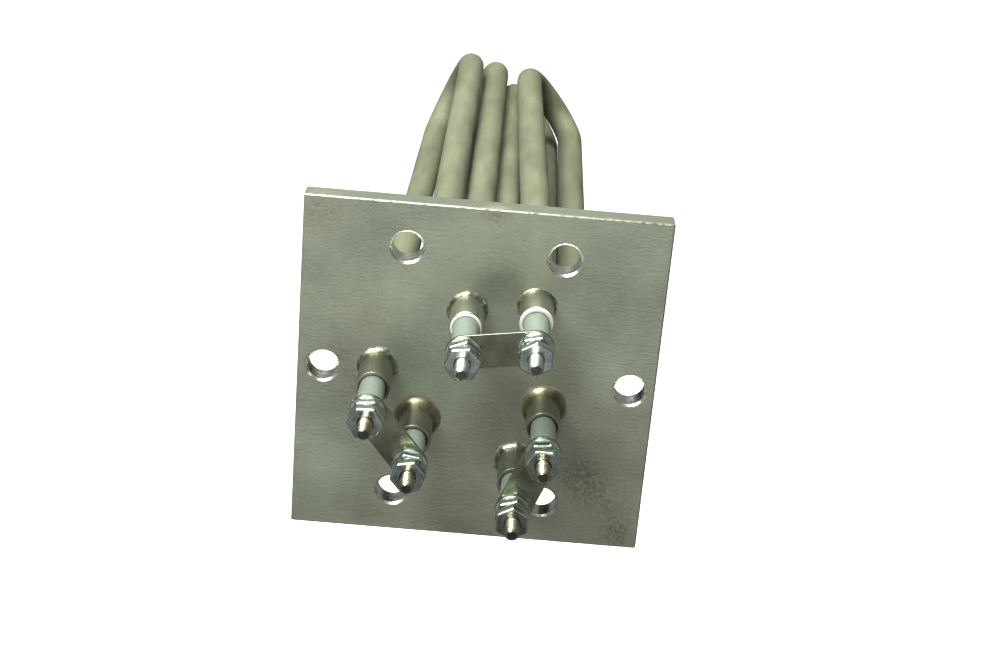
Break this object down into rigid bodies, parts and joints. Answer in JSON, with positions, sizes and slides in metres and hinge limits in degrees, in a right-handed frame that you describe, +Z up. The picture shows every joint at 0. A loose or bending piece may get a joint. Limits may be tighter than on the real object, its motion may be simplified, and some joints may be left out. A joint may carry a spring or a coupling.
{
  "type": "flanged immersion heating element",
  "caption": "Flanged immersion heater: folded tubular elements through a square plate, with insulated studs joined by link bars.",
  "frame": {"origin": "centre of the flange plate's back (gasket) face", "axes": "+Z up across the plate, +Y along the tubes away from the terminals, +X to the right as seen from the terminals"},
  "size_m": [0.1016, 0.3046, 0.1016],
  "materials": {
    "flange_steel": "mill finish, scuffed, light rust",
    "sheath_metal": "matte drawn tube",
    "resistance_wire": "drawn wire",
    "weld_metal": "brazed fillet",
    "magnesia": "packed powder",
    "terminal_steel": "bright plated thread",
    "insulator_ceramic": "semi-gloss ceramic",
    "fastener_plate": "bright zinc plate",
    "link_metal": "bright plated strip"
  },
  "bodies": {
    "root": {"flange_plate": "flange_steel", "sheath_1": "sheath_metal", "resistance_coil_1": "resistance_wire", "sheath_2": "sheath_metal", "resistance_coil_2": "resistance_wire", "sheath_3": "sheath_metal", "resistance_coil_3": "resistance_wire", "root_weld_1": "weld_metal", "magnesia_packing_1": "magnesia", "terminal_pin_1": "terminal_steel", "insulator_1": "insulator_ceramic", "flat_washer_1": "fastener_plate", "lock_washer_1": "fastener_plate", "lower_nut_1": "fastener_plate", "upper_nut_1": "fastener_plate", "root_weld_2": "weld_metal", "magnesia_packing_2": "magnesia", "terminal_pin_2": "terminal_steel", "insulator_2": "insulator_ceramic", "flat_washer_2": "fastener_plate", "lock_washer_2": "fastener_plate", "lower_nut_2": "fastener_plate", "upper_nut_2": "fastener_plate", "root_weld_3": "weld_metal", "magnesia_packing_3": "magnesia", "terminal_pin_3": "terminal_steel", "insulator_3": "insulator_ceramic", "flat_washer_3": "fastener_plate", "lock_washer_3": "fastener_plate", "lower_nut_3": "fastener_plate", "upper_nut_3": "fastener_plate", "root_weld_4": "weld_metal", "magnesia_packing_4": "magnesia", "terminal_pin_4": "terminal_steel", "insulator_4": "insulator_ceramic", "flat_washer_4": "fastener_plate", "lock_washer_4": "fastener_plate", "lower_nut_4": "fastener_plate", "upper_nut_4": "fastener_plate", "root_weld_5": "weld_metal", "magnesia_packing_5": "magnesia", "terminal_pin_5": "terminal_steel", "insulator_5": "insulator_ceramic", "flat_washer_5": "fastener_plate", "lock_washer_5": "fastener_plate", "lower_nut_5": "fastener_plate", "upper_nut_5": "fastener_plate", "root_weld_6": "weld_metal", "magnesia_packing_6": "magnesia", "terminal_pin_6": "terminal_steel", "insulator_6": "insulator_ceramic", "flat_washer_6": "fastener_plate", "lock_washer_6": "fastener_plate", "lower_nut_6": "fastener_plate", "upper_nut_6": "fastener_plate", "link_bar_1": "link_metal", "link_bar_2": "link_metal", "link_bar_3": "link_metal"}
  },
  "joints": []
}
